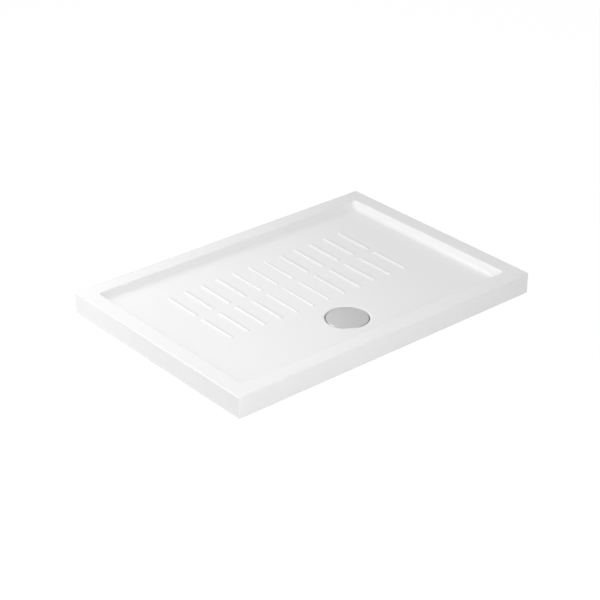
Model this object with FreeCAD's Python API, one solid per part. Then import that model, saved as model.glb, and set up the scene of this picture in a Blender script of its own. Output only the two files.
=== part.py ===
import FreeCAD, Part
import math
import os

from FreeCAD import Vector

# A rectangular glazed ceramic shower tray with a 90 mm waste.
# Frame: X along the long side, Y from the front long side to the back one, Z up.
# Origin: middle of the underside, on the surface that the tray stands on. Millimetres.

# ---------------------------------------------------------------- tray casting
TRAY_LENGTH = 1000.0        # long side
TRAY_WIDTH = 700.0          # short side
TRAY_HEIGHT = 60.0          # underside to rim
RIM_WIDTH = 46.5            # flat rim, outer edge to inner edge
WALL_LEAN = 20.0            # inner walls, degrees off vertical
DEPTH_BACK = 22.0           # rim to floor at the foot of the back wall
DEPTH_FRONT = 28.8          # rim to floor at the foot of the front wall
DEPTH_WASTE = 32.5          # rim to floor beside the waste
FALL_TO_AXIS = 1.5          # how much lower the floor's planes meet, on the waste's axis
CORNER_ROUND = 3.0          # outer vertical corners
TOP_ROUND = 2.4             # outer top edge
BASE_CHAMFER = 1.0          # outer bottom edge
WALL_CORNER_ROUND = 9.0     # upright corners between the inner walls
RIM_INNER_ROUND = 3.0       # inner edge of the rim
FOOT_COVE = 6.0             # hollow between wall and floor

# ---------------------------------------------------------------- anti-slip ribs
RIBS_PER_ROW = 12
RIB_PITCH = 55.0
RIB_LENGTH = 128.0
RIB_WIDTH = 9.0             # across the foot
RIB_TOP_WIDTH = 4.0
RIB_RISE = 2.2              # above the floor
RIB_ROW_GAP = 22.0          # clear distance between the two rows
RIB_FIELD_Y = 64.5          # middle of the gap, behind the middle of the tray
RIB_ROOT = 2.0              # how far a rib's foot reaches into the floor
RIB_END_SIDES = 3           # flat sides of each rounded end

# ---------------------------------------------------------------- tray underside
SKIRT_WALL = 12.0           # outer wall
RIM_ROOF = 12.0             # ceramic under the rim
WALL_THICKNESS = 12.8       # inner walls, measured level
FLOOR_THICKNESS = 12.0      # ceramic under the floor
WEB_THICKNESS = 8.0         # webs between the pockets, at their foot
POCKET_COLUMNS = 10
POCKET_ROWS = 7
POCKET_DRAFT = 2.0          # degrees
BOSS_WALL = 11.0            # ring round the waste chamber

# ---------------------------------------------------------------- waste opening in the tray
WASTE_FROM_FRONT = 175.0    # front edge to the waste's axis
RECESS_RADIUS = 60.0
RECESS_DEPTH = 11.5         # floor to the flange's seat
RECESS_LIP = 2.0            # sloping lip of the recess
SEAT_THICKNESS = 8.0        # ceramic that the fitting clamps
HOLE_RADIUS = 45.0          # the 90 mm waste hole
CHAMBER_RADIUS = 59.0       # open space round the waste body, under the seat

# ---------------------------------------------------------------- waste fitting
GASKET_TOP = 1.5            # seal between seat and flange
FLANGE_SEAL_INNER = 46.5    # radii
FLANGE_SEAL_OUTER = 55.5
GASKET_BOTTOM = 2.0         # seal between underside and waste body
BODY_SEAL_INNER = 46.0
BODY_SEAL_OUTER = 55.5
FLANGE_GAUGE = 1.5
FLANGE_RADIUS = 56.0
FLANGE_DROP = 3.5           # step down from the flange's ring to its pan
FLANGE_OPENING = 30.0       # radius of the opening that the sieve hangs in
BODY_RADIUS = 56.0          # clamping collar
BODY_COLLAR = 3.0
BARREL_WALL = 3.5
HOLE_GAP = 1.5              # barrel to the ceramic hole
PIPE_RADIUS = 25.0          # drain pipe that the outlet takes
PIPE_GAP = 0.25             # pipe to socket
SOCKET_WALL = 5.2
SOCKET_LENGTH = 8.2
STOP_WIDTH = 2.75           # inward lip that stops the pipe
STOP_THICKNESS = 1.5
SHELF_THICKNESS = 3.0       # between barrel and socket
SIEVE_ROOM = 1.6            # depth of the shelf's opening, before the funnel starts
FUNNEL_FALL = 1.9           # from the shelf's opening to the throat
SEAL_WIDTH = 2.5            # lip seal, along the pipe
SEAL_GROOVE = 2.3           # lip seal, across
SEAL_FROM_MOUTH = 2.7
SEAL_FLUSH_GAP = 0.08

SCREW_COUNT = 3
FIRST_SCREW = 30.0          # degrees from +X
SCREW_CIRCLE = 36.5         # radius of the screws' circle
SCREW_RADIUS = 2.0
SCREW_LENGTH = 9.5
SCREW_HEAD_RADIUS = 3.7
SCREW_HEAD_DEPTH = 1.4
SCREW_HOLE_GAP = 0.1
SLOT_WIDTH = 0.9            # across the head, for the screwdriver
SLOT_DEPTH = 0.9
BOSS_RADIUS = 5.2
INSERT_RADIUS = 3.1
INSERT_LENGTH = 8.0
INSERT_GAP = 0.03
THREAD_GAP = 0.05

SIEVE_GAP = 0.5             # sieve to the flange's opening
SIEVE_RIM = 2.0             # how far its rim rests on the pan
SIEVE_RIM_THICKNESS = 1.5
SIEVE_DEPTH = 2.6           # pan to the underside of the sieve
SIEVE_WALL = 1.5
SIEVE_SLOTS = 16
SIEVE_SLOT_WIDTH = 3.0
SIEVE_SLOT_MARGIN = 2.6     # slot's ends to hub and wall
HUB_RADIUS = 6.2
HUB_RISE = 6.0              # hub above the pan
HUB_BORE_DEPTH = 5.5
STEM_GAP = 0.05             # cover's stem to the hub's bore, which grips it
STEM_RADIUS = 3.6
STEM_END_GAP = 0.7

COVER_RADIUS = 57.5
COVER_GAUGE = 1.2
COVER_RISE = 2.0            # crown above the border's edge
COVER_BELOW_FLOOR = 1.6     # the border's edge below the floor round it
COVER_SKIRT = 3.2
COVER_CROWN = 50.0          # radius of the flat middle
CARRIER_RING_WIDTH = 5.0
CARRIER_EDGE_GAP = 1.1      # carrier to the inside of the skirt
CARRIER_GAP = 0.1           # carrier to the underside of the cover
CARRIER_THICKNESS = 1.8
CARRIER_SPOKES = 8
SPOKE_WIDTH = 3.6
CARRIER_HUB_RADIUS = 8.0
LEG_COUNT = 4
LEG_LENGTH = 8.0            # along the ring
LEG_WIDTH = 4.0             # across the ring

# ---------------------------------------------------------------- construction
CUT_ABOVE = 3.0             # how far a cutting shape reaches past the face that it opens
ROOT = 1.0                  # how far a part that is joined on reaches into the one that holds it
NEAR = 0.01                 # two points this close are one

# ---------------------------------------------------------------- worked out from the sizes above
LEAN = math.tan(math.radians(WALL_LEAN))
INNER_X = TRAY_LENGTH / 2 - RIM_WIDTH
INNER_Y = TRAY_WIDTH / 2 - RIM_WIDTH
BACK_FOOT_Y = INNER_Y - DEPTH_BACK * LEAN
FRONT_FOOT_Y = -(INNER_Y - DEPTH_FRONT * LEAN)
FALL = (DEPTH_FRONT - DEPTH_BACK) / (BACK_FOOT_Y - FRONT_FOOT_Y)

WASTE = Vector(0, WASTE_FROM_FRONT - TRAY_WIDTH / 2, 0)
WASTE_FLOOR_Z = TRAY_HEIGHT - DEPTH_WASTE
LOWEST_Z = WASTE_FLOOR_Z - FALL_TO_AXIS
LIP_Z = WASTE_FLOOR_Z - RECESS_LIP
SEAT_Z = WASTE_FLOOR_Z - RECESS_DEPTH
SEAT_UNDERSIDE_Z = SEAT_Z - SEAT_THICKNESS

FLANGE_UNDER_Z = SEAT_Z + GASKET_TOP
FLANGE_TOP_Z = FLANGE_UNDER_Z + FLANGE_GAUGE
PAN_TOP_Z = FLANGE_TOP_Z - FLANGE_DROP
PAN_UNDER_Z = PAN_TOP_Z - FLANGE_GAUGE
BARREL_RADIUS = HOLE_RADIUS - HOLE_GAP
BARREL_BORE = BARREL_RADIUS - BARREL_WALL
COLLAR_TOP_Z = SEAT_UNDERSIDE_Z - GASKET_BOTTOM
COLLAR_UNDER_Z = COLLAR_TOP_Z - BODY_COLLAR
SOCKET_RADIUS = PIPE_RADIUS + PIPE_GAP
SOCKET_TOP_Z = PAN_UNDER_Z - SIEVE_ROOM - FUNNEL_FALL - STOP_THICKNESS
SOCKET_MOUTH_Z = SOCKET_TOP_Z - SOCKET_LENGTH
SEAL_Z = SOCKET_MOUTH_Z + SEAL_FROM_MOUTH

COVER_EDGE_Z = WASTE_FLOOR_Z - COVER_BELOW_FLOOR
COVER_SKIRT_Z = COVER_EDGE_Z - COVER_SKIRT
CARRIER_RADIUS = COVER_RADIUS - COVER_GAUGE - CARRIER_EDGE_GAP


# ---------------------------------------------------------------- helpers
def turned(profile, axis=WASTE):
    """A solid turned about the vertical through axis, from (radius, height) points."""
    points = [Vector(axis.x + radius, axis.y, height) for radius, height in profile]
    face = Part.Face(Part.makePolygon(points + points[:1]))
    return face.revolve(axis, Vector(0, 0, 1), 360)


def disc(radius, bottom, top, centre=WASTE):
    """An upright cylinder between two heights."""
    return Part.makeCylinder(radius, top - bottom, Vector(centre.x, centre.y, bottom))


def around(shape, count, first=0.0, centre=WASTE):
    """Copies of a shape, evenly turned about the vertical through centre."""
    copies = []
    for index in range(count):
        copy = shape.copy()
        copy.rotate(centre, Vector(0, 0, 1), first + index * 360.0 / count)
        copies.append(copy)
    return copies


def edge_points(edge):
    """Start, middle and end of an edge."""
    first, last = edge.FirstParameter, edge.LastParameter
    return [edge.valueAt(first + (last - first) * share) for share in (0.0, 0.5, 1.0)]


def edges_where(shape, test):
    """The edges of a shape whose start, middle and end all pass a test."""
    return [edge for edge in shape.Edges if all(test(point) for point in edge_points(edge))]


def write(shape, node):
    """Writes one node's solids to its own file."""
    shape.exportStep("parts/%s.step" % node)


# ---------------------------------------------------------------- tray
def frame_z(y):
    """Height of the floor along the foot of the walls: one plane that falls to the front."""
    return TRAY_HEIGHT - DEPTH_BACK - (BACK_FOOT_Y - y) * FALL


def polyhedron(outlines):
    """A solid from its plane faces' corners."""
    faces = [Part.Face(Part.makePolygon(points + points[:1])) for points in outlines]
    return Part.Solid(Part.makeShell(faces))


def frustum(top, bottom):
    """A solid with plane sides between two outlines, both anticlockwise from above."""
    outlines = [top, bottom[::-1]]
    for index in range(len(top)):
        after = (index + 1) % len(top)
        outlines.append([top[index], bottom[index], bottom[after], top[after]])
    return polyhedron(outlines)


def foot_corners(grow=0.0, drop=0.0):
    """Corners of the walls' foot, from back right anticlockwise, in plan.

    grow moves the walls out and drop lowers the floor, which gives the back of both.
    """
    reach_y = INNER_Y + grow - (TRAY_HEIGHT - frame_z(0.0) + drop) * LEAN
    corners = []
    for side_y in (1, -1):
        y = side_y * reach_y / (1 - side_y * FALL * LEAN)
        x = INNER_X + grow - (TRAY_HEIGHT - frame_z(y) + drop) * LEAN
        corners += [Vector(side_y * x, y, 0), Vector(-side_y * x, y, 0)]
    return corners


def rim_corners(grow=0.0, above=0.0):
    """Corners of the walls at a height above the rim, from back right anticlockwise, in plan."""
    x = INNER_X + grow + above * LEAN
    y = INNER_Y + grow + above * LEAN
    return [Vector(x, y, 0), Vector(-x, y, 0), Vector(-x, -y, 0), Vector(x, -y, 0)]


def well():
    """The space inside the rim: leaning walls, a cove at their foot, a floor of four falling planes."""
    top = [Vector(point.x, point.y, TRAY_HEIGHT + CUT_ABOVE) for point in rim_corners(0.0, CUT_ABOVE)]
    foot = [Vector(point.x, point.y, frame_z(point.y)) for point in foot_corners()]
    walls = frustum(top, foot)

    def wall_corner(edge):
        return abs(edge.Vertexes[0].Z - edge.Vertexes[1].Z) > DEPTH_BACK / 2

    walls = walls.makeFillet(WALL_CORNER_ROUND, [edge for edge in walls.Edges if wall_corner(edge)])
    at_foot = edges_where(walls, lambda point: abs(point.z - frame_z(point.y)) < NEAR)
    walls = walls.makeFillet(FOOT_COVE, at_foot)

    lowest = Vector(WASTE.x, WASTE.y, LOWEST_Z)
    edge_of_fall = []
    for index, corner in enumerate(foot):
        towards_last = (foot[index - 1] - corner).normalize()
        towards_next = (foot[(index + 1) % 4] - corner).normalize()
        edge_of_fall.append(corner + (towards_last + towards_next) * FOOT_COVE)
    outlines = [edge_of_fall]
    for index in range(4):
        outlines.append([edge_of_fall[index], lowest, edge_of_fall[(index + 1) % 4]])
    return walls.fuse(polyhedron(outlines)).removeSplitter()


def back_of_well():
    """What the ceramic behind walls and floor leaves: plane walls and a floor of four planes."""
    rim = [Vector(point.x, point.y, TRAY_HEIGHT) for point in rim_corners(WALL_THICKNESS)]
    foot = [Vector(point.x, point.y, frame_z(point.y) - FLOOR_THICKNESS)
            for point in foot_corners(WALL_THICKNESS, FLOOR_THICKNESS)]
    lowest = Vector(WASTE.x, WASTE.y, LOWEST_Z - FLOOR_THICKNESS)
    outlines = [rim]
    for index in range(4):
        after = (index + 1) % 4
        outlines.append([rim[index], foot[index], foot[after], rim[after]])
        outlines.append([foot[index], lowest, foot[after]])
    return polyhedron(outlines)


def pocket_cells():
    """The grid of drafted cells that the underside's webs leave between them."""
    room_x = TRAY_LENGTH - 2 * SKIRT_WALL
    room_y = TRAY_WIDTH - 2 * SKIRT_WALL
    cell_x = (room_x - (POCKET_COLUMNS - 1) * WEB_THICKNESS) / POCKET_COLUMNS
    cell_y = (room_y - (POCKET_ROWS - 1) * WEB_THICKNESS) / POCKET_ROWS
    taper = TRAY_HEIGHT * math.tan(math.radians(POCKET_DRAFT))

    def outline(x, y, inset, height):
        half_x, half_y = cell_x / 2 - inset, cell_y / 2 - inset
        return [Vector(x + side_x * half_x, y + side_y * half_y, height)
                for side_x, side_y in ((1, 1), (-1, 1), (-1, -1), (1, -1))]

    cells = []
    for column in range(POCKET_COLUMNS):
        x = (cell_x - room_x) / 2 + column * (cell_x + WEB_THICKNESS)
        for row in range(POCKET_ROWS):
            y = (cell_y - room_y) / 2 + row * (cell_y + WEB_THICKNESS)
            cells.append(frustum(outline(x, y, taper, TRAY_HEIGHT), outline(x, y, 0.0, 0.0)))
    return cells


def pockets():
    """The hollows of the underside: the cells, under floor and rim, clear of the waste boss."""
    roof = Part.makeBox(TRAY_LENGTH, TRAY_WIDTH, TRAY_HEIGHT - RIM_ROOF,
                        Vector(-TRAY_LENGTH / 2, -TRAY_WIDTH / 2, 0))
    room = roof.cut(back_of_well())
    room = room.cut(disc(CHAMBER_RADIUS + BOSS_WALL, 0, TRAY_HEIGHT))
    return room.common(Part.makeCompound(pocket_cells())).Solids


def rib():
    """One raised rib along Y, with sloping flanks and ends cut back. Its foot line is at height 0."""
    flank = (RIB_WIDTH - RIB_TOP_WIDTH) / 2 / RIB_RISE
    end = (RIB_LENGTH - RIB_WIDTH) / 2

    def outline(height):
        reach = RIB_TOP_WIDTH / 2 + (RIB_RISE - height) * flank
        points = []
        for first, middle in ((0.0, end), (180.0, -end)):
            for side in range(RIB_END_SIDES + 1):
                angle = math.radians(first + side * 180.0 / RIB_END_SIDES)
                points.append(Vector(reach * math.cos(angle), middle + reach * math.sin(angle), height))
        return points

    return frustum(outline(RIB_RISE), outline(-RIB_ROOT))


def ribs(inside):
    """Both rows of ribs, each laid along the floor of the space inside the rim."""
    def floor_height(x, y):
        plumb = Part.makeLine(Vector(x, y, 0), Vector(x, y, TRAY_HEIGHT))
        return inside.common(plumb).BoundBox.ZMin

    bar = rib()
    half = RIB_LENGTH / 2
    made = []
    for side in (-1, 1):
        y = RIB_FIELD_Y + side * (RIB_ROW_GAP / 2 + half)
        for index in range(RIBS_PER_ROW):
            x = (index - (RIBS_PER_ROW - 1) / 2) * RIB_PITCH
            near, far = floor_height(x, y - half), floor_height(x, y + half)
            copy = bar.copy()
            copy.rotate(Vector(0, 0, 0), Vector(1, 0, 0), math.degrees(math.atan2(far - near, RIB_LENGTH)))
            copy.translate(Vector(x, y, (near + far) / 2))
            made.append(copy)
    return made


def tray():
    """The casting: rim, walls, falling floor, waste opening, ribs and pocketed underside."""
    body = Part.makeBox(TRAY_LENGTH, TRAY_WIDTH, TRAY_HEIGHT,
                        Vector(-TRAY_LENGTH / 2, -TRAY_WIDTH / 2, 0))

    def upright(point):
        at_end = abs(abs(point.x) - TRAY_LENGTH / 2) < NEAR
        return at_end and abs(abs(point.y) - TRAY_WIDTH / 2) < NEAR
    body = body.makeFillet(CORNER_ROUND, edges_where(body, upright))
    body = body.makeFillet(TOP_ROUND, edges_where(body, lambda point: point.z > TRAY_HEIGHT - NEAR))
    body = body.makeChamfer(BASE_CHAMFER, edges_where(body, lambda point: point.z < NEAR))

    inside = well()
    body = body.cut(inside)

    def at_rim(point):
        inner = abs(point.x) < INNER_X + NEAR and abs(point.y) < INNER_Y + NEAR
        return inner and abs(point.z - TRAY_HEIGHT) < NEAR

    body = body.makeFillet(RIM_INNER_ROUND, edges_where(body, at_rim))
    body = body.cut(pockets())
    body = body.fuse(ribs(inside))

    lip_top = TRAY_HEIGHT - LIP_Z
    lip = Part.makeCone(RECESS_RADIUS, RECESS_RADIUS + lip_top, lip_top, Vector(WASTE.x, WASTE.y, LIP_Z))
    opening = disc(RECESS_RADIUS, SEAT_Z, TRAY_HEIGHT).fuse([
        lip,
        disc(HOLE_RADIUS, 0, TRAY_HEIGHT),
        disc(CHAMBER_RADIUS, 0, SEAT_UNDERSIDE_Z),
    ])
    return body.cut(opening)


# ---------------------------------------------------------------- waste fitting, below the cover
def ring_seal(inner, outer, bottom, top):
    """A flat ring seal."""
    return turned([(inner, bottom), (outer, bottom), (outer, top), (inner, top)])


def waste_flange():
    """Pressed flange: a ring on the seat, a step down through the hole, and a pan for the sieve."""
    step = BARREL_RADIUS - FLANGE_GAUGE
    flange = turned([
        (FLANGE_OPENING, PAN_UNDER_Z),
        (BARREL_RADIUS, PAN_UNDER_Z),
        (BARREL_RADIUS, FLANGE_UNDER_Z),
        (FLANGE_RADIUS, FLANGE_UNDER_Z),
        (FLANGE_RADIUS, FLANGE_TOP_Z),
        (step, FLANGE_TOP_Z),
        (step, PAN_TOP_Z),
        (FLANGE_OPENING, PAN_TOP_Z),
    ])
    spot = WASTE + Vector(SCREW_CIRCLE, 0, 0)
    head = SCREW_HEAD_RADIUS + SCREW_HOLE_GAP
    shank = SCREW_RADIUS + SCREW_HOLE_GAP
    countersink = Part.makeCone(shank, head, SCREW_HEAD_DEPTH,
                                Vector(spot.x, spot.y, PAN_TOP_Z - SCREW_HEAD_DEPTH))
    hole = countersink.fuse(disc(shank, PAN_UNDER_Z - CUT_ABOVE, PAN_TOP_Z, spot))
    return flange.cut(around(hole, SCREW_COUNT, FIRST_SCREW))


def waste_body():
    """Waste body: collar under the ceramic, barrel in its hole, shelf, funnel and pipe socket."""
    throat = SOCKET_RADIUS - STOP_WIDTH
    shelf_under_z = PAN_UNDER_Z - SHELF_THICKNESS
    socket_outer = SOCKET_RADIUS + SOCKET_WALL
    body = turned([
        (SOCKET_RADIUS, SOCKET_MOUTH_Z),
        (SOCKET_RADIUS, SEAL_Z),
        (SOCKET_RADIUS + SEAL_GROOVE, SEAL_Z),
        (SOCKET_RADIUS + SEAL_GROOVE, SEAL_Z + SEAL_WIDTH),
        (SOCKET_RADIUS, SEAL_Z + SEAL_WIDTH),
        (SOCKET_RADIUS, SOCKET_TOP_Z),
        (throat, SOCKET_TOP_Z),
        (throat, SOCKET_TOP_Z + STOP_THICKNESS),
        (FLANGE_OPENING, PAN_UNDER_Z - SIEVE_ROOM),
        (FLANGE_OPENING, PAN_UNDER_Z),
        (BARREL_RADIUS, PAN_UNDER_Z),
        (BARREL_RADIUS, COLLAR_TOP_Z),
        (BODY_RADIUS, COLLAR_TOP_Z),
        (BODY_RADIUS, COLLAR_UNDER_Z),
        (BARREL_BORE, COLLAR_UNDER_Z),
        (BARREL_BORE, shelf_under_z),
        (socket_outer, shelf_under_z),
        (socket_outer, SOCKET_MOUTH_Z),
    ])
    spot = WASTE + Vector(SCREW_CIRCLE, 0, 0)
    boss = disc(BOSS_RADIUS, COLLAR_UNDER_Z, PAN_UNDER_Z, spot)
    depth = INSERT_LENGTH + INSERT_GAP
    pocket = disc(INSERT_RADIUS + INSERT_GAP, PAN_UNDER_Z - depth, PAN_UNDER_Z, spot)
    body = body.fuse(around(boss, SCREW_COUNT, FIRST_SCREW))
    return body.cut(around(pocket, SCREW_COUNT, FIRST_SCREW))


def outlet_seal():
    """Lip seal in the socket's groove, drawn as the pipe presses it."""
    inner = SOCKET_RADIUS + SEAL_FLUSH_GAP
    return ring_seal(inner, SOCKET_RADIUS + SEAL_GROOVE, SEAL_Z, SEAL_Z + SEAL_WIDTH)


def flange_screws():
    """The slotted countersunk screws."""
    spot = WASTE + Vector(SCREW_CIRCLE, 0, 0)
    screw = turned([
        (0, PAN_TOP_Z - SCREW_LENGTH),
        (SCREW_RADIUS, PAN_TOP_Z - SCREW_LENGTH),
        (SCREW_RADIUS, PAN_TOP_Z - SCREW_HEAD_DEPTH),
        (SCREW_HEAD_RADIUS, PAN_TOP_Z),
        (0, PAN_TOP_Z),
    ], spot)
    corner = Vector(spot.x - SCREW_HEAD_RADIUS, spot.y - SLOT_WIDTH / 2, PAN_TOP_Z - SLOT_DEPTH)
    slot = Part.makeBox(2 * SCREW_HEAD_RADIUS, SLOT_WIDTH, SLOT_DEPTH, corner)
    return Part.makeCompound(around(screw.cut(slot), SCREW_COUNT, FIRST_SCREW))


def screw_inserts():
    """The brass threaded inserts in the waste body's bosses."""
    spot = WASTE + Vector(SCREW_CIRCLE, 0, 0)
    bore = SCREW_RADIUS + THREAD_GAP
    bottom = PAN_UNDER_Z - INSERT_LENGTH
    insert = turned([
        (bore, bottom),
        (INSERT_RADIUS, bottom),
        (INSERT_RADIUS, PAN_UNDER_Z),
        (bore, PAN_UNDER_Z),
    ], spot)
    return Part.makeCompound(around(insert, SCREW_COUNT, FIRST_SCREW))


# ---------------------------------------------------------------- sieve and cover
def hair_sieve():
    """Lift-out sieve: a perforated pan on the flange, with a hub that grips the cover's stem."""
    outer = FLANGE_OPENING - SIEVE_GAP
    bottom = PAN_TOP_Z - SIEVE_DEPTH
    hub_top = PAN_TOP_Z + HUB_RISE
    bore = STEM_RADIUS + STEM_GAP
    sieve = turned([
        (0, bottom),
        (outer, bottom),
        (outer, PAN_TOP_Z),
        (FLANGE_OPENING + SIEVE_RIM, PAN_TOP_Z),
        (FLANGE_OPENING + SIEVE_RIM, PAN_TOP_Z + SIEVE_RIM_THICKNESS),
        (outer - SIEVE_WALL, PAN_TOP_Z + SIEVE_RIM_THICKNESS),
        (outer - SIEVE_WALL, bottom + SIEVE_WALL),
        (HUB_RADIUS, bottom + SIEVE_WALL),
        (HUB_RADIUS, hub_top),
        (bore, hub_top),
        (bore, hub_top - HUB_BORE_DEPTH),
        (0, hub_top - HUB_BORE_DEPTH),
    ])
    slot_start = HUB_RADIUS + SIEVE_SLOT_MARGIN
    slot_length = outer - SIEVE_WALL - SIEVE_SLOT_MARGIN - slot_start
    slot = Part.makeBox(slot_length, SIEVE_SLOT_WIDTH, SIEVE_WALL + CUT_ABOVE,
                        Vector(WASTE.x + slot_start, WASTE.y - SIEVE_SLOT_WIDTH / 2, bottom - CUT_ABOVE / 2))
    return sieve.cut(around(slot, SIEVE_SLOTS))


def waste_cover():
    """The raised cover, pressed from sheet: flat crown, sloping border and turned-down skirt."""
    inner = COVER_RADIUS - COVER_GAUGE
    crown_z = COVER_EDGE_Z + COVER_RISE
    return turned([
        (0, crown_z),
        (COVER_CROWN, crown_z),
        (COVER_RADIUS, COVER_EDGE_Z),
        (COVER_RADIUS, COVER_SKIRT_Z),
        (inner, COVER_SKIRT_Z),
        (inner, COVER_EDGE_Z - COVER_GAUGE),
        (COVER_CROWN, crown_z - COVER_GAUGE),
        (0, crown_z - COVER_GAUGE),
    ])


def cover_carrier():
    """Plastic spider under the dome: ring, spokes, hub with a stem, and four legs."""
    ring_top = COVER_EDGE_Z - COVER_GAUGE - CARRIER_GAP
    ring_bottom = ring_top - CARRIER_THICKNESS
    ring_inner = CARRIER_RADIUS - CARRIER_RING_WIDTH
    hub_top = COVER_EDGE_Z + COVER_RISE - COVER_GAUGE - CARRIER_GAP
    stem_bottom = PAN_TOP_Z + HUB_RISE - HUB_BORE_DEPTH + STEM_END_GAP
    ring = ring_seal(ring_inner, CARRIER_RADIUS, ring_bottom, ring_top)
    hub = turned([
        (0, stem_bottom),
        (STEM_RADIUS, stem_bottom),
        (STEM_RADIUS, ring_bottom),
        (CARRIER_HUB_RADIUS, ring_bottom),
        (CARRIER_HUB_RADIUS, hub_top),
        (0, hub_top),
    ])
    spoke = Part.makeBox(ring_inner + ROOT - STEM_RADIUS, SPOKE_WIDTH, CARRIER_THICKNESS,
                         Vector(WASTE.x + STEM_RADIUS, WASTE.y - SPOKE_WIDTH / 2, ring_bottom))
    leg_middle = (FLANGE_RADIUS + CARRIER_RADIUS) / 2 - LEG_WIDTH
    leg = Part.makeBox(LEG_WIDTH, LEG_LENGTH, ring_bottom - FLANGE_TOP_Z + ROOT,
                       Vector(WASTE.x + leg_middle - LEG_WIDTH / 2, WASTE.y - LEG_LENGTH / 2, FLANGE_TOP_Z))
    pieces = [hub] + around(spoke, CARRIER_SPOKES) + around(leg, LEG_COUNT)
    return ring.fuse(pieces).removeSplitter()


# ---------------------------------------------------------------- build
def main():
    os.makedirs("parts", exist_ok=True)
    write(tray(), "tray")
    write(ring_seal(FLANGE_SEAL_INNER, FLANGE_SEAL_OUTER, SEAT_Z, FLANGE_UNDER_Z), "flange_gasket")
    write(waste_flange(), "waste_flange")
    write(flange_screws(), "flange_screws")
    write(screw_inserts(), "screw_inserts")
    write(waste_body(), "waste_body")
    write(ring_seal(BODY_SEAL_INNER, BODY_SEAL_OUTER, COLLAR_TOP_Z, SEAT_UNDERSIDE_Z), "body_gasket")
    write(outlet_seal(), "outlet_seal")
    write(hair_sieve(), "hair_sieve")
    write(cover_carrier(), "cover_carrier")
    write(waste_cover(), "waste_cover")


main()
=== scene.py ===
"""Looks of a glazed ceramic shower tray and its waste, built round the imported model.

Frame: X along the long side, Y from the front long side to the back one, Z up.
The origin is the middle of the underside. The constants for the tray, its ribs, its waste and its
cover are millimetres, as in the construction model. The properties and the studio are metres, as
lengths in Blender are.
"""

import math

import bmesh
import bpy
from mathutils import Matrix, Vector


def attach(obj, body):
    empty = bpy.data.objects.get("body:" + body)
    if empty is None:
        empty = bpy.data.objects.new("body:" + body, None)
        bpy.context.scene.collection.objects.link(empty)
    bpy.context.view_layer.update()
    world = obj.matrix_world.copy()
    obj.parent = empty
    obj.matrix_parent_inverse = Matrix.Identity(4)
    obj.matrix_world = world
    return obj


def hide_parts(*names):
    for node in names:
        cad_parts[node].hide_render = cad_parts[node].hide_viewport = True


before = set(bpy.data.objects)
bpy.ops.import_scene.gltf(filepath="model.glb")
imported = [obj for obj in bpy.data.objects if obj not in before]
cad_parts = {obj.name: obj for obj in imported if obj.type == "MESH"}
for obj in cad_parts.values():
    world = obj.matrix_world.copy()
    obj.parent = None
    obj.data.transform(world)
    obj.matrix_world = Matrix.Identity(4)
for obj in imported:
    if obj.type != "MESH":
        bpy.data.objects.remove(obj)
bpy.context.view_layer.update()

bl_info = {
    "name": "Shower Tray Looks",
    "version": (1, 0, 0),
    "blender": (4, 5, 0),
    "location": "View3D > Sidebar > Shower Tray",
    "description": "Glazed tray, plated waste cover, waste fitting and a plain studio",
    "category": "Object",
}

# A millimetre, and how near corners of the construction model are merged, in metres
MM = 0.001
WELD = 0.000002

# Tray, as in the construction model
HALF_LENGTH = 500.0
HALF_WIDTH = 350.0
TRAY_HEIGHT = 60.0
RIM_WIDTH = 46.5
WALL_ANGLE = 20.0
LEAN = math.tan(math.radians(WALL_ANGLE))
DEPTH_BACK = 22.0
DEPTH_FRONT = 28.8
DEPTH_WASTE = 32.5
INNER_X = HALF_LENGTH - RIM_WIDTH
INNER_Y = HALF_WIDTH - RIM_WIDTH
BACK_FOOT_Y = INNER_Y - DEPTH_BACK * LEAN
FRONT_FOOT_Y = -(INNER_Y - DEPTH_FRONT * LEAN)
FALL = (DEPTH_FRONT - DEPTH_BACK) / (BACK_FOOT_Y - FRONT_FOOT_Y)
WALL_CORNER = 9.0
OUTER_CORNER = 3.0
OUTER_TOP_ROUND = 2.4
BASE_CHAMFER = 1.0

# The rim's mesh lines, the flat left beside a round, how near the outside an edge of the ground
# face belongs to the sides, and how soft the floor's hips are
RIM_FIRST_LINE = 4.5
RIM_LINE_CORNER = 11.0
ROUND_MARGIN = 2.5
NEAR_SIDE = 2.5
HIP_SOFTNESS = 0.9

# Ribs, and the grid's lines across each of them, as offsets from its middle line
RIB_COUNT = 12
RIB_PITCH = 55.0
RIB_LENGTH = 128.0
RIB_ROW_MIDDLES = (-10.5, 139.5)
RIB_END_STEEPNESS = 1.5
RIB_END_INSET = 4.5
RIB_LINES = (0.0, 1.0, 1.9, 2.7, 3.5, 4.3, 5.1)

# Waste
WASTE_Y = -175.0
WASTE_FLOOR_Z = TRAY_HEIGHT - DEPTH_WASTE
RECESS_RADIUS = 60.0
SEAT_Z = 16.0
SEAT_UNDERSIDE_Z = 8.0
HOLE_RADIUS = 45.0
CHAMBER_RADIUS = 59.0
LIP_REACH = 2.5

# The square round the waste that the grid leaves open, the rings in it, and the grid's other lines.
# The even lines beside the waste go without SKIPPED_COLUMN, on that one side only.
PATCH_HALF = 78.0
PATCH_RINGS = (74.0, 71.0, 68.5)
PATCH_COLUMN_STEP = 5
PATCH_ROW_STEP = 6.0
SKIPPED_COLUMN = 70.0
GAP_SPREAD = 12.5
END_COLUMNS = (318.0, 332.0, 348.0, 364.0, 380.0, 396.0, 410.0, 420.0, 427.5, 429.0, 430.5, 432.0)
FRONT_ROWS = (-282.0, -280.5, -279.0, -277.5, -270.0, -262.0, -88.0)
BACK_ROWS = (212.0, 224.0, 237.0, 250.0, 262.0, 272.0, 279.5, 281.0, 282.5, 284.0)
CORNER_STEPS = 4

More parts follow.
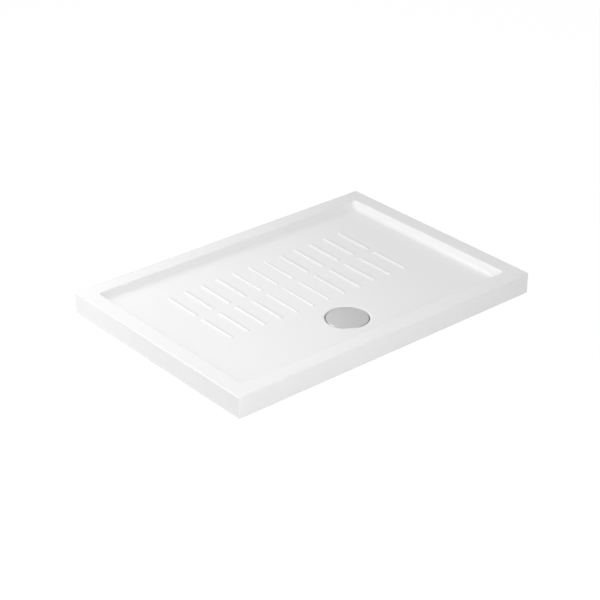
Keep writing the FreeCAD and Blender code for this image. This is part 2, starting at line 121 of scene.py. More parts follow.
# Cover
COVER_RADIUS = 57.5
COVER_GAUGE = 1.2
COVER_CROWN_Z = 27.9
COVER_FOOT_Z = 22.7
COVER_RINGS = 14
COVER_STEPS = 128
COVER_EDGE_ANGLE = 84.0
COVER_BREAK_IN = 0.35
COVER_BREAK_UP = 0.4

# Studio, in metres: each lamp's place and size, the point they face, the floor, and how far the
# camera stands aside of its line to the origin
LAMPS = {
    "left_low": ((-1.7, 1.3, 1.1), (1.6, 1.4)),
    "left_near": ((-1.0, 0.8, 1.2), (0.8, 0.8)),
    "front_low": ((-1.4, -2.2, 1.0), (1.8, 1.4)),
    "front_high": ((-0.4, -1.8, 2.2), (1.8, 1.4)),
    "back_high": ((0.9, 2.1, 1.9), (2.0, 1.4)),
}
LAMP_TARGET = (0.0, 0.0, 0.03)
FLOOR_DROP = 0.0002
FLOOR_SIZE = 20.0
GLOW_STRENGTH = 1.06
GLOW_SHARE = 0.9
CAMERA_ASIDE_LEFT = 0.0104
CAMERA_ASIDE_UP = 0.0060


# ---------------------------------------------------------------- shader expressions
class Wire:
    """A node's output that can be used in sums, in the node tree of one material or world."""

    def __init__(self, tree, socket):
        self.tree = tree
        self.socket = socket

    @staticmethod
    def feed(tree, target, value):
        """Links or sets one input socket."""
        if isinstance(value, Wire):
            tree.links.new(value.socket, target)
        else:
            target.default_value = value

    def combine(self, operation, first, second):
        """A Math node on two values or wires."""
        node = self.tree.nodes.new("ShaderNodeMath")
        node.operation = operation
        Wire.feed(self.tree, node.inputs[0], first)
        Wire.feed(self.tree, node.inputs[1], second)
        return Wire(self.tree, node.outputs[0])

    def __add__(self, other):
        return self.combine("ADD", self, other)

    def __radd__(self, other):
        return self.combine("ADD", other, self)

    def __sub__(self, other):
        return self.combine("SUBTRACT", self, other)

    def __rsub__(self, other):
        return self.combine("SUBTRACT", other, self)

    def __mul__(self, other):
        return self.combine("MULTIPLY", self, other)

    def __rmul__(self, other):
        return self.combine("MULTIPLY", other, self)


class Nodes:
    """A node tree, with the method that adds any other node."""

    def __init__(self, tree):
        self.tree = tree

    def node(self, kind, settings=None, output=0, **inputs):
        """A node of a kind: its settings, then its sockets by name, or by number as _0, _1."""
        node = self.tree.nodes.new("ShaderNode" + kind)
        for setting, value in (settings or {}).items():
            setattr(node, setting, value)
        for socket, value in inputs.items():
            key = int(socket[1:]) if socket[1:].isdigit() else socket.replace("_", " ")
            Wire.feed(self.tree, node.inputs[key], value)
        return Wire(self.tree, node.outputs[output])

    def background_rays(self):
        """1 for rays that see the white background: from the camera, off gloss or through glass."""
        camera, glossy, through = (
            self.node("LightPath", output=kind)
            for kind in ("Is Camera Ray", "Is Glossy Ray", "Is Transmission Ray"))
        return camera.combine("MAXIMUM", camera, camera.combine("MAXIMUM", glossy, through))


class Finish(Nodes):
    """One material and its shader."""

    def __init__(self, name, **constants):
        self.material = bpy.data.materials.new(name)
        self.material.use_nodes = True
        super().__init__(self.material.node_tree)
        self.shader = self.tree.nodes["Principled BSDF"]
        for socket, value in constants.items():
            self.set(socket.replace("_", " "), value)

    def place(self):
        """Object coordinates, in metres."""
        return self.node("TexCoord", output="Object")

    def noise(self, scale, detail=3.0, roughness=0.5):
        """Even noise from 0 to 1."""
        return self.node("TexNoise", Vector=self.place(), Scale=scale, Detail=detail,
                         Roughness=roughness)

    def mix(self, factor, first, second):
        """A blend of two colours."""
        return self.node("Mix", {"data_type": "RGBA"}, output=2, _0=factor, _6=first, _7=second)

    def bump(self, height, strength, distance):
        """A normal from a height."""
        return self.node("Bump", Height=height, Strength=strength, Distance=distance)

    def set(self, socket, value):
        """Feeds one socket of the shader."""
        Wire.feed(self.tree, self.shader.inputs[socket], value)


def grey(value):
    """An opaque grey."""
    return (value, value, value, 1.0)


def glaze_finish(look):
    """White sanitary glaze over top and sides, and bare fired clay underneath."""
    finish = Finish("glaze", IOR=1.52)
    glazed = finish.node("Attribute", {"attribute_name": "glazed"}, output="Fac")
    cloud = finish.noise(2.2, 2.0)
    speck = finish.noise(900.0, 2.0)
    peel = finish.noise(55.0, 2.0, 0.45)
    white = look.glaze_colour
    glaze = finish.mix(cloud, (*white, 1.0), (*[channel * 0.985 for channel in white], 1.0))
    clay = finish.mix(speck, (0.74, 0.71, 0.66, 1.0), (0.83, 0.80, 0.75, 1.0))
    finish.set("Base Color", finish.mix(glazed, clay, glaze))
    shine = look.glaze_roughness + (cloud - 0.5) * 0.05
    finish.set("Roughness", shine * glazed + (1 - glazed) * 0.85)
    relief = peel * glazed * 0.35 + speck * (1 - glazed)
    finish.set("Normal", finish.bump(relief, 0.12, 0.0006))
    return finish.material


def cover_finish(look):
    """Satin plated metal, spun, with faint rings and wipe marks."""
    finish = Finish("cover_metal", Metallic=1.0, IOR=1.5)
    centred = finish.node("Mapping", Vector=finish.place(), Location=(0.0, -WASTE_Y * MM, 0.0))
    rings = finish.node("TexWave", {"wave_type": "RINGS", "rings_direction": "Z"}, output="Fac",
                        Vector=centred, Scale=420.0, Distortion=0.6, Detail=2.0)
    smear = finish.noise(38.0, 4.0, 0.6)
    tone = look.cover_colour
    dull = tuple(channel * 0.94 for channel in tone)
    finish.set("Base Color", finish.mix(smear, (*tone, 1.0), (*dull, 1.0)))
    finish.set("Roughness", look.cover_roughness + smear * 0.10 - 0.05)
    finish.set("Normal", finish.bump(rings, 0.05, 0.0002))
    return finish.material


def steel_finish(name, tone, roughness, grain):
    """Pressed or turned steel, with fine grain."""
    finish = Finish(name, Metallic=1.0)
    streak = finish.noise(grain, 4.0, 0.65)
    cloud = finish.noise(45.0, 2.0)
    finish.set("Base Color", finish.mix(cloud, (*tone, 1.0), (*[c * 0.88 for c in tone], 1.0)))
    finish.set("Roughness", roughness + streak * 0.14 - 0.05)
    finish.set("Normal", finish.bump(streak, 0.08, 0.0002))
    return finish.material


def plastic_finish(name, tone, roughness):
    """Moulded plastic with a fine eroded grain."""
    finish = Finish(name, IOR=1.49)
    grain = finish.noise(1500.0, 3.0, 0.6)
    flow = finish.noise(22.0, 3.0)
    finish.set("Base Color", finish.mix(flow, (*tone, 1.0), (*[c * 0.95 for c in tone], 1.0)))
    finish.set("Roughness", roughness + grain * 0.12)
    finish.set("Normal", finish.bump(grain, 0.10, 0.0002))
    return finish.material


def rubber_finish(name, tone):
    """Matt black rubber with a faint bloom."""
    finish = Finish(name, IOR=1.5)
    bloom = finish.noise(70.0, 4.0, 0.6)
    grain = finish.noise(2200.0, 2.0)
    pale = tuple(channel * 1.9 for channel in tone)
    finish.set("Base Color", finish.mix(bloom, (*tone, 1.0), (*pale, 1.0)))
    finish.set("Roughness", 0.62 + bloom * 0.2)
    finish.set("Normal", finish.bump(grain, 0.15, 0.0002))
    return finish.material


# ---------------------------------------------------------------- mesh helpers
def piece_from(bm, name, material, body, nodes, sharp_degrees=38.0):
    """Makes a finished piece of a bmesh: smooth, its sharp edges kept, riding on its body."""
    bmesh.ops.recalc_face_normals(bm, faces=bm.faces)
    for face in bm.faces:
        face.smooth = True
    limit = math.radians(sharp_degrees)
    for edge in bm.edges:
        edge.smooth = edge.is_manifold and edge.calc_face_angle(0.0) < limit
    mesh = bpy.data.meshes.new(name)
    bm.to_mesh(mesh)
    bm.free()
    mesh.materials.append(material)
    piece = bpy.data.objects.new(name, mesh)
    bpy.context.scene.collection.objects.link(piece)
    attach(piece, body)
    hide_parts(*nodes)


def grow_ring(bm, edges, place):
    """Extrudes a loop of edges once, and puts its new corners where place says."""
    made = bmesh.ops.extrude_edge_only(bm, edges=edges)["geom"]
    fresh = {item for item in made if isinstance(item, bmesh.types.BMVert)}
    for vert in fresh:
        vert.co = place(vert)
    return [item for item in made
            if isinstance(item, bmesh.types.BMEdge) and fresh.issuperset(item.verts)]


def arc(centre, radius, first, last, count):
    """Points on an arc, from first to last degrees, both included."""
    points = []
    for index in range(count + 1):
        angle = math.radians(first + (last - first) * index / count)
        points.append((centre[0] + radius * math.cos(angle), centre[1] + radius * math.sin(angle)))
    return points


def spun(profile, steps):
    """A bmesh turned round the waste's axis from a line of (radius, height) points."""
    bm = bmesh.new()
    corners = [bm.verts.new((radius * MM, WASTE_Y * MM, height * MM)) for radius, height in profile]
    edges = [bm.edges.new(pair) for pair in zip(corners, corners[1:])]
    bmesh.ops.spin(bm, geom=corners + edges, cent=(0, WASTE_Y * MM, 0), axis=(0, 0, 1),
                   angle=math.tau, steps=steps, use_merge=True, use_duplicate=False)
    bmesh.ops.remove_doubles(bm, verts=bm.verts, dist=0.00001)
    bmesh.ops.dissolve_degenerate(bm, edges=bm.edges, dist=0.000001)
    return bm


# ---------------------------------------------------------------- tray
def foot_z(y):
    """Height of the foot of the walls."""
    return TRAY_HEIGHT - DEPTH_BACK - (BACK_FOOT_Y - y) * FALL


def foot_x(y):
    """Half the floor's length at y."""
    return INNER_X - (TRAY_HEIGHT - foot_z(y)) * LEAN


def floor_z(x, y):
    """The floor: straight falls from the foot of the walls to the waste, with softened hips."""
    across = y - WASTE_Y
    reach = BACK_FOOT_Y - WASTE_Y if across > 0 else WASTE_Y - FRONT_FOOT_Y
    share_x = abs(x) / foot_x(y)
    share_y = abs(across) / reach
    share = max(share_x, share_y)
    blend = HIP_SOFTNESS * share * max(0.0, 1.0 - share)
    gap = abs(share_x - share_y)
    if gap < blend:
        share += (blend - gap) ** 2 / (4 * blend)
    distance = math.hypot(x, across)
    lip = RECESS_RADIUS + LIP_REACH
    if distance <= lip or share < 0.0001:
        return WASTE_FLOOR_Z
    reached = distance / share
    height = foot_z(WASTE_Y + across / share)
    return WASTE_FLOOR_Z + (height - WASTE_FLOOR_Z) * (distance - lip) / (reached - lip)


def rib_middle(index):
    """Where a rib's middle line is along X."""
    return (index - (RIB_COUNT - 1) / 2) * RIB_PITCH


def rib_rise(x, y, look):
    """How far the nearest rib stands above the floor here."""
    column = round(x / RIB_PITCH + (RIB_COUNT - 1) / 2)
    beside = x - rib_middle(min(max(column, 0), RIB_COUNT - 1))
    half = look.rib_width / MM / 2
    nearest = half * 2
    for middle in RIB_ROW_MIDDLES:
        beyond = max(0.0, abs(y - middle) - (RIB_LENGTH / 2 - half / RIB_END_STEEPNESS))
        nearest = min(nearest, math.hypot(beside, beyond * RIB_END_STEEPNESS))
    top = look.rib_top / MM / 2
    share = min(1.0, max(0.0, (half - nearest) / (half - top)))
    return look.rib_rise / MM * share * share * (3 - 2 * share)


def columns():
    """Places of the grid's lines along X: fine at the ribs and the waste, coarse elsewhere."""
    right = {PATCH_HALF, *END_COLUMNS}
    for place in range(0, int(PATCH_HALF), PATCH_COLUMN_STEP):
        if abs(place - rib_middle(RIB_COUNT // 2)) > PATCH_COLUMN_STEP:
            right.add(float(place))
    for index in range(RIB_COUNT // 2, RIB_COUNT):
        middle = rib_middle(index)
        gap = middle + RIB_PITCH / 2
        right |= {middle + side * offset for offset in RIB_LINES for side in (-1, 1)}
        if PATCH_HALF < gap and index < RIB_COUNT - 1:
            right |= {gap - GAP_SPREAD, gap, gap + GAP_SPREAD}
    return sorted((right | {-place for place in right}) - {SKIPPED_COLUMN})


def rows():
    """Places of the grid's lines along Y: fine at the walls' feet, the ribs' ends and the waste."""
    places = {*FRONT_ROWS, *BACK_ROWS}
    for step in range(round(2 * PATCH_HALF / PATCH_ROW_STEP) + 1):
        places.add(WASTE_Y - PATCH_HALF + step * PATCH_ROW_STEP)
    for middle in RIB_ROW_MIDDLES:
        end = RIB_LENGTH / 2 - RIB_END_INSET
        for offset in RIB_LINES:
            places |= {middle - end - offset, middle + end + offset}
        for step in range(1, 8):
            places.add(middle - end + step * end / 4)
    return sorted(places)


def tray_top(bm, look):
    """The glazed face: ribbed floor, cove, walls, rim, outer edge, sides, and the waste recess."""
    xs, ys = columns(), rows()
    bmesh.ops.create_grid(bm, x_segments=len(xs) - 1, y_segments=len(ys) - 1, size=0.5)
    ring_slot = bm.verts.layers.int.new("ring_slot")
    last_x, last_y = len(xs) - 1, len(ys) - 1
    slots = []
    for vert in bm.verts:
        column = round((vert.co.x + 0.5) * last_x)
        row = round((vert.co.y + 0.5) * last_y)
        x, y = xs[column], ys[row]
        vert.co = (x, y, floor_z(x, y) + rib_rise(x, y, look))
        if column in (0, last_x) or row in (0, last_y):
            vert[ring_slot] = len(slots)
            slots.append((column, row))

    edge_loop = [edge for edge in bm.edges if edge.is_boundary]
    hole = [face for face in bm.faces
            if abs(face.calc_center_median().x) < PATCH_HALF
            and abs(face.calc_center_median().y - WASTE_Y) < PATCH_HALF]
    bmesh.ops.delete(bm, geom=hole, context="FACES")
    outer = set(edge_loop)
    hole_loop = [edge for edge in bm.edges if edge.is_boundary and edge not in outer]

    def outline(half_x, half_y, corner, slot):
        """Where a corner of the grid's edge lies on a rounded rectangle."""
        column, row = slots[slot]
        side_x = 1 if column > last_x / 2 else -1
        side_y = 1 if row > last_y / 2 else -1
        from_x = last_x - column if side_x > 0 else column
        from_y = last_y - row if side_y > 0 else row
        half_y = half_y if isinstance(half_y, float) else half_y[side_y > 0]
        half_x = half_x(ys[row]) if callable(half_x) else half_x
        if from_x + from_y <= CORNER_STEPS:
            angle = math.radians(45.0 * (1.0 + (from_x - from_y) / CORNER_STEPS))
            x = half_x - corner + corner * math.cos(angle)
            y = half_y - corner + corner * math.sin(angle)
            return side_x * x, side_y * y
        if from_x == 0:
            return side_x * half_x, ys[row]
        return xs[column], side_y * half_y

    def ring(half_x, half_y, corner, height):
        """Grows the outer edge to a rounded rectangle; a size may change along Y, or by side."""
        nonlocal edge_loop

        def place(vert):
            x, y = outline(half_x, half_y, corner, vert[ring_slot])
            return Vector((x, y, height(y) if callable(height) else height))

        edge_loop = grow_ring(bm, edge_loop, place)

    tangent = math.tan(math.radians((90.0 - WALL_ANGLE) / 2))
    cove = look.foot_cove / MM
    for out, up in arc((-cove * tangent, cove), cove, -90.0, -WALL_ANGLE, 10):
        ring(lambda y, out=out: foot_x(y) + out, (-FRONT_FOOT_Y + out, BACK_FOOT_Y + out),
             max(WALL_CORNER + out, 1.0), lambda y, up=up: foot_z(y) + up)
    edge = look.rim_round / MM
    for out, up in arc((edge * tangent, -edge), edge, 180.0 - WALL_ANGLE, 90.0, 7):
        ring(INNER_X + out, INNER_Y + out, WALL_CORNER + out, TRAY_HEIGHT + up)
    for out in (RIM_FIRST_LINE, RIM_WIDTH / 2, RIM_WIDTH - OUTER_TOP_ROUND - ROUND_MARGIN):
        ring(INNER_X + out, INNER_Y + out, RIM_LINE_CORNER, TRAY_HEIGHT)
    corner = (-OUTER_TOP_ROUND, -OUTER_TOP_ROUND)
    for out, up in arc(corner, OUTER_TOP_ROUND, 90.0, 0.0, 6):
        ring(HALF_LENGTH + out, HALF_WIDTH + out, OUTER_CORNER + out, TRAY_HEIGHT + up)
    below_round = TRAY_HEIGHT - OUTER_TOP_ROUND - ROUND_MARGIN
    for height in (below_round, TRAY_HEIGHT / 2, BASE_CHAMFER + 1.0, BASE_CHAMFER):
        ring(HALF_LENGTH, HALF_WIDTH, OUTER_CORNER, height)
    inset = BASE_CHAMFER
    ring(HALF_LENGTH - inset, HALF_WIDTH - inset, OUTER_CORNER - inset, 0.0)

    def waste_ring(radius, height=None):
        """Grows the patch's edge to a circle at a height, or on the floor."""
        nonlocal hole_loop

        def place(vert):
            angle = math.atan2(vert.co.y - WASTE_Y, vert.co.x)
            x = radius * math.cos(angle)
            y = WASTE_Y + radius * math.sin(angle)
            return Vector((x, y, floor_z(x, y) if height is None else height))

        hole_loop = grow_ring(bm, hole_loop, place)

    for radius in PATCH_RINGS:
        waste_ring(radius)
    drop, width = look.recess_round / MM, look.recess_spread / MM
    for along, up in arc((0.0, 0.0), drop, 90.0, 180.0, 7):
        waste_ring(RECESS_RADIUS + width + along * width / drop, WASTE_FLOOR_Z - drop + up)
    recess_profile = (
        (RECESS_RADIUS, SEAT_Z + 4.0), (RECESS_RADIUS, SEAT_Z + 1.0),
        (RECESS_RADIUS - 1.0, SEAT_Z), (RECESS_RADIUS - 3.0, SEAT_Z),
        (HOLE_RADIUS + 3.0, SEAT_Z), (HOLE_RADIUS + 1.0, SEAT_Z),
        (HOLE_RADIUS, SEAT_Z - 1.0), (HOLE_RADIUS, SEAT_UNDERSIDE_Z + 1.0),
        (HOLE_RADIUS + 1.0, SEAT_UNDERSIDE_Z), (CHAMBER_RADIUS - 1.0, SEAT_UNDERSIDE_Z),
        (CHAMBER_RADIUS, SEAT_UNDERSIDE_Z - 1.0), (CHAMBER_RADIUS, 1.0),
        (CHAMBER_RADIUS + 1.0, 0.0),
    )
    for radius, height in recess_profile:
        waste_ring(radius, height)
    bmesh.ops.scale(bm, vec=(MM, MM, MM), verts=bm.verts)


def pocket_faces(cad):
    """The pockets in a merged copy of the construction model: what only the ground face reaches."""
    level = 0.00001
    ground = {face for face in cad.faces if all(abs(vert.co.z) < level for vert in face.verts)}
    found, waiting = set(), []
    for face in ground:
        for edge in face.edges:
            middle = (edge.verts[0].co + edge.verts[1].co) / 2
            outside = (abs(middle.x) > (HALF_LENGTH - NEAR_SIDE) * MM
                       or abs(middle.y) > (HALF_WIDTH - NEAR_SIDE) * MM)
            at_chamber = math.hypot(middle.x, middle.y - WASTE_Y * MM) < (CHAMBER_RADIUS + 1.0) * MM
            if not outside and not at_chamber:
                waiting += [other for other in edge.link_faces if other not in ground]
    while waiting:
        face = waiting.pop()
        if face in found:
            continue
        found.add(face)
        for edge in face.edges:
            waiting += [other for other in edge.link_faces
                        if other not in ground and other not in found]
    return found


def build_tray(look, material):
    """The whole casting: glazed face, pocketed underside, and the ground face between them."""
    bm = bmesh.new()
    tray_top(bm, look)

    cad = bmesh.new()
    cad.from_mesh(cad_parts["tray"].data)
    bmesh.ops.remove_doubles(cad, verts=cad.verts, dist=WELD)
    keep = pocket_faces(cad)
    bmesh.ops.delete(cad, geom=[face for face in cad.faces if face not in keep], context="FACES")
    pockets = bpy.data.meshes.new("pockets")
    cad.to_mesh(pockets)
    cad.free()
    top_count = len(bm.verts)
    bm.from_mesh(pockets)
    bpy.data.meshes.remove(pockets)

    bm.verts.ensure_lookup_table()
    glazed = bm.verts.layers.float.new("glazed")
    for index, vert in enumerate(bm.verts):
        vert[glazed] = 1.0 if index < top_count and vert.co.z > 0.5 * MM else 0.0
        from_waste = math.hypot(vert.co.x, vert.co.y - WASTE_Y * MM)
        if from_waste < (RECESS_RADIUS + 0.5) * MM and vert.co.z < (SEAT_UNDERSIDE_Z + 0.5) * MM:
            vert[glazed] = 0.0
    mouths = [edge for edge in bm.edges if edge.is_boundary]
    bmesh.ops.triangle_fill(bm, use_beauty=True, edges=mouths)
    piece_from(bm, "glazed_tray", material, "tray", ["tray"])


# ---------------------------------------------------------------- cover and fitting
def build_cover(look, material):
    """The domed cover, pressed from sheet, with a rounded edge and a turned-down skirt."""
    rise, bend = look.cover_rise / MM, look.cover_bend / MM
    flat = COVER_RADIUS - bend

    def dome(at, drop=0.0):
        return COVER_CROWN_Z - rise * (at / flat) ** 2 - drop

    stations = [flat * index / COVER_RINGS for index in range(COVER_RINGS + 1)]
    shoulder = (flat, dome(flat) - bend)
    outer = [(at, dome(at)) for at in stations]
    outer += arc(shoulder, bend, COVER_EDGE_ANGLE, 0.0, 7)
    edge_top = COVER_FOOT_Z + COVER_BREAK_UP
    outer += [(COVER_RADIUS, edge_top), (COVER_RADIUS - COVER_BREAK_IN, COVER_FOOT_Z)]
    inside = COVER_RADIUS - COVER_GAUGE
    inner = [(inside + COVER_BREAK_IN, COVER_FOOT_Z), (inside, edge_top)]
    inner += arc(shoulder, bend - COVER_GAUGE, 0.0, COVER_EDGE_ANGLE, 5)
    inner += [(at, dome(at, COVER_GAUGE)) for at in reversed(stations)]
    bm = spun(outer + inner, COVER_STEPS)
    piece_from(bm, "plated_cover", material, "cover", ["waste_cover"])


def softened(node, name, material, body, width):
    """A copy of a fitting's piece with its edges broken, as moulding and pressing leave them."""
    bm = bmesh.new()
    bm.from_mesh(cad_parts[node].data)
    bmesh.ops.remove_doubles(bm, verts=bm.verts, dist=WELD)
    bmesh.ops.dissolve_limit(bm, angle_limit=math.radians(1.0), verts=bm.verts, edges=bm.edges)
    limit = math.radians(40.0)
    crisp = [edge for edge in bm.edges
             if edge.is_manifold and edge.calc_face_angle(0.0) > limit]
    bmesh.ops.bevel(bm, geom=crisp, offset=width * MM, offset_type="OFFSET", affect="EDGES",
                    segments=2, profile=0.5, material=-1, clamp_overlap=True)
    piece_from(bm, name, material, body, [node], sharp_degrees=50.0)


# ---------------------------------------------------------------- what a user may change
class TrayLook(bpy.types.PropertyGroup):
    """Sizes and finish of the tray."""

    rib_rise: bpy.props.FloatProperty(
        name="Rib Rise", description="Height of a rib above the floor",
        default=0.0022, min=0.0005, max=0.005, unit="LENGTH")
    rib_width: bpy.props.FloatProperty(
        name="Rib Width", description="Width of a rib at its foot",
        default=0.0102, min=0.004, max=0.0102, unit="LENGTH")
    rib_top: bpy.props.FloatProperty(
        name="Rib Top", description="Width of a rib's top",
        default=0.0024, min=0.0005, max=0.0036, unit="LENGTH")
    foot_cove: bpy.props.FloatProperty(
        name="Foot Cove", description="Radius between floor and walls",
        default=0.015, min=0.001, max=0.015, unit="LENGTH")
    rim_round: bpy.props.FloatProperty(
        name="Rim Round", description="Radius of the rim's inner edge",
        default=0.003, min=0.0005, max=0.006, unit="LENGTH")
    recess_round: bpy.props.FloatProperty(
        name="Recess Lip Depth", description="How far the waste recess's lip turns down",
        default=0.002, min=0.0005, max=0.003, unit="LENGTH")
    recess_spread: bpy.props.FloatProperty(
        name="Recess Lip Width", description="Width of the waste recess's lip in plan",
        default=0.005, min=0.0005, max=0.007, unit="LENGTH")
    glaze_colour: bpy.props.FloatVectorProperty(
        name="Glaze Colour", description="Colour of the glaze",
        default=(0.90, 0.90, 0.90), min=0.0, max=1.0, size=3, subtype="COLOR")
    glaze_roughness: bpy.props.FloatProperty(
        name="Glaze Roughness", description="Roughness of the glaze",
        default=0.22, min=0.0, max=1.0, subtype="FACTOR")


class CoverLook(bpy.types.PropertyGroup):
    """Sizes and finish of the waste cover."""

    cover_rise: bpy.props.FloatProperty(
        name="Cover Rise", description="Rise of the cover's dome",
        default=0.0018, min=0.0, max=0.004, unit="LENGTH")
    cover_bend: bpy.props.FloatProperty(
        name="Cover Bend", description="Radius of the cover's edge",
        default=0.0022, min=0.0014, max=0.003, unit="LENGTH")
    cover_colour: bpy.props.FloatVectorProperty(
        name="Cover Colour", description="Colour of the plated metal",
        default=(0.475, 0.475, 0.478), min=0.0, max=1.0, size=3, subtype="COLOR")
    cover_roughness: bpy.props.FloatProperty(
        name="Cover Roughness", description="Roughness of the plated metal",
        default=0.34, min=0.0, max=1.0, subtype="FACTOR")


class StudioLook(bpy.types.PropertyGroup):
    """Light and camera."""

    world: bpy.props.FloatProperty(
        name="Surroundings", description="Strength of the even light from all round",
        default=0.352, min=0.0, max=3.0)
    left_low: bpy.props.FloatProperty(
        name="Left Low Lamp", description="Power of the low lamp at the left",
        default=10.0, min=0.0, unit="POWER")
    left_near: bpy.props.FloatProperty(
        name="Left Near Lamp", description="Power of the small lamp close by at the left",
        default=8.5, min=0.0, unit="POWER")
    front_low: bpy.props.FloatProperty(
        name="Front Low Lamp", description="Power of the low lamp in front",
        default=15.5, min=0.0, unit="POWER")
    front_high: bpy.props.FloatProperty(
        name="Front High Lamp", description="Power of the high lamp in front",
        default=21.5, min=0.0, unit="POWER")
    back_high: bpy.props.FloatProperty(
        name="Back High Lamp", description="Power of the high lamp behind",
        default=3.8, min=0.0, unit="POWER")
    azimuth: bpy.props.FloatProperty(
        name="Camera Azimuth", description="Camera's turn round the tray from the front",
        default=math.radians(-40.25), subtype="ANGLE")
    elevation: bpy.props.FloatProperty(
        name="Camera Elevation", description="Camera's angle above the floor",
        default=math.radians(28.23), subtype="ANGLE")
    distance: bpy.props.FloatProperty(
        name="Camera Distance", description="Camera's distance from the middle of the underside",
        default=4.603, min=0.5, unit="LENGTH")
    lens: bpy.props.FloatProperty(
        name="Lens", description="Focal length", default=102.63, min=10.0, unit="CAMERA")


# ---------------------------------------------------------------- operators
class SHOWERTRAY_OT_tray(bpy.types.Operator):
    """Builds the glazed tray"""

    bl_idname = "shower_tray.tray"
    bl_label = "Build Tray"

    def execute(self, context):
        look = context.scene.tray_look
        build_tray(look, glaze_finish(look))
        return {"FINISHED"}


class SHOWERTRAY_OT_cover(bpy.types.Operator):
    """Builds the plated waste cover and its carrier"""

    bl_idname = "shower_tray.cover"
    bl_label = "Build Cover"

    def execute(self, context):
        look = context.scene.cover_look
        build_cover(look, cover_finish(look))
        carrier = plastic_finish("carrier_plastic", (0.60, 0.61, 0.62), 0.42)
        softened("cover_carrier", "moulded_carrier", carrier, "cover", 0.25)
        return {"FINISHED"}


class SHOWERTRAY_OT_fitting(bpy.types.Operator):
    """Builds the sieve and the clamped waste fitting"""

    bl_idname = "shower_tray.fitting"
    bl_label = "Build Waste Fitting"

    def execute(self, context):
        sieve = plastic_finish("sieve_plastic", (0.74, 0.74, 0.73), 0.38)
        softened("hair_sieve", "moulded_sieve", sieve, "cover", 0.2)
        steel = steel_finish("flange_steel", (0.56, 0.57, 0.58), 0.30, 900.0)
        softened("waste_flange", "pressed_flange", steel, "tray", 0.3)
        grey_plastic = plastic_finish("body_plastic", (0.62, 0.63, 0.64), 0.45)
        softened("waste_body", "moulded_body", grey_plastic, "tray", 0.3)
        finishes = {
            "flange_screws": steel_finish("screw_steel", (0.50, 0.51, 0.52), 0.24, 2400.0),
            "screw_inserts": steel_finish("insert_brass", (0.62, 0.46, 0.20), 0.28, 2400.0),
            "flange_gasket": rubber_finish("gasket_rubber", (0.028, 0.028, 0.030)),
            "outlet_seal": rubber_finish("seal_rubber", (0.035, 0.035, 0.038)),
        }
        finishes["body_gasket"] = finishes["flange_gasket"]
        for node, material in finishes.items():
            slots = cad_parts[node].material_slots
            if not slots:
                raise RuntimeError("no material slot on " + node)
            for slot in slots:
                slot.material = material
        return {"FINISHED"}


def area_lamp(name, place, size, power):
    """A soft rectangular lamp that faces the tray."""
    data = bpy.data.lights.new(name, "AREA")
    data.shape = "RECTANGLE"
    data.size, data.size_y = size
    data.energy = power
    lamp = bpy.data.objects.new(name, data)
    lamp.location = place
    aim = Vector(LAMP_TARGET) - Vector(place)
    lamp.rotation_euler = aim.to_track_quat("-Z", "Y").to_euler()
    bpy.context.scene.collection.objects.link(lamp)


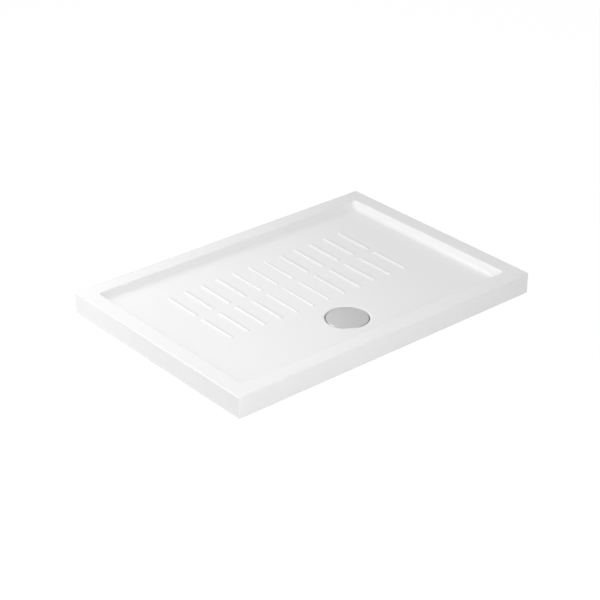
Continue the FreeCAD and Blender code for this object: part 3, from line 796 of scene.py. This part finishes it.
class SHOWERTRAY_OT_stage(bpy.types.Operator):
    """Builds the floor, the lamps, the surroundings and the camera"""

    bl_idname = "shower_tray.stage"
    bl_label = "Build Stage"

    def execute(self, context):
        scene = context.scene
        studio = scene.studio_look
        scene.view_settings.view_transform = "Standard"

        bm = bmesh.new()
        bmesh.ops.create_grid(bm, x_segments=1, y_segments=1, size=FLOOR_SIZE)
        bmesh.ops.translate(bm, vec=(0.0, 0.0, -FLOOR_DROP), verts=bm.verts)
        mesh = bpy.data.meshes.new("studio_floor")
        bm.to_mesh(mesh)
        bm.free()
        floor = bpy.data.objects.new("studio_floor", mesh)
        scene.collection.objects.link(floor)
        finish = Finish("studio_floor", Base_Color=grey(0.8), Roughness=0.9)
        glow = finish.node("Emission", Color=grey(1.0), Strength=GLOW_STRENGTH)
        shaded = Wire(finish.tree, finish.shader.outputs[0])
        seen = finish.background_rays() * GLOW_SHARE
        mixed = finish.node("MixShader", _0=seen, _1=shaded, _2=glow)
        output = finish.tree.nodes["Material Output"]
        Wire.feed(finish.tree, output.inputs["Surface"], mixed)
        mesh.materials.append(finish.material)

        world = bpy.data.worlds.new("studio")
        world.use_nodes = True
        scene.world = world
        sky = Nodes(world.node_tree)
        background = sky.tree.nodes["Background"]
        strength = sky.background_rays() * (1.0 - studio.world) + studio.world
        Wire.feed(sky.tree, background.inputs["Strength"], strength)
        background.inputs["Color"].default_value = grey(1.0)

        for name, (place, size) in LAMPS.items():
            area_lamp(name + "_lamp", place, size, getattr(studio, name))

        camera = bpy.data.cameras.new("camera")
        camera.sensor_width = 36.0
        camera.lens = studio.lens
        camera.dof.use_dof = False
        turn, rise = studio.azimuth, studio.elevation
        level = math.cos(rise)
        away = Vector((math.sin(turn) * level, -math.cos(turn) * level, math.sin(rise)))
        right = Vector((math.cos(turn), math.sin(turn), 0.0))
        up = away.cross(right)
        seer = bpy.data.objects.new("camera", camera)
        seer.location = (away * studio.distance - right * CAMERA_ASIDE_LEFT
                         + up * CAMERA_ASIDE_UP)
        seer.rotation_euler = (-away).to_track_quat("-Z", "Y").to_euler()
        scene.collection.objects.link(seer)
        scene.camera = seer
        return {"FINISHED"}


class SHOWERTRAY_PT_panel(bpy.types.Panel):
    """Lists the tray's operators and sizes"""

    bl_idname = "SHOWERTRAY_PT_panel"
    bl_label = "Shower Tray"
    bl_space_type = "VIEW_3D"
    bl_region_type = "UI"
    bl_category = "Shower Tray"

    def draw(self, context):
        layout = self.layout
        for group in (context.scene.tray_look, context.scene.cover_look, context.scene.studio_look):
            for name in group.__annotations__:
                layout.prop(group, name)
        for operator in OPERATORS:
            layout.operator(operator.bl_idname)


OPERATORS = (SHOWERTRAY_OT_tray, SHOWERTRAY_OT_cover, SHOWERTRAY_OT_fitting, SHOWERTRAY_OT_stage)
CLASSES = (TrayLook, CoverLook, StudioLook, *OPERATORS, SHOWERTRAY_PT_panel)


def register():
    for item in CLASSES:
        bpy.utils.register_class(item)
    bpy.types.Scene.tray_look = bpy.props.PointerProperty(type=TrayLook)
    bpy.types.Scene.cover_look = bpy.props.PointerProperty(type=CoverLook)
    bpy.types.Scene.studio_look = bpy.props.PointerProperty(type=StudioLook)


def unregister():
    del bpy.types.Scene.studio_look
    del bpy.types.Scene.cover_look
    del bpy.types.Scene.tray_look
    for item in reversed(CLASSES):
        bpy.utils.unregister_class(item)


def main():
    register()
    bpy.ops.shower_tray.tray()
    bpy.ops.shower_tray.cover()
    bpy.ops.shower_tray.fitting()
    bpy.ops.shower_tray.stage()


if __name__ == "__main__":
    main()
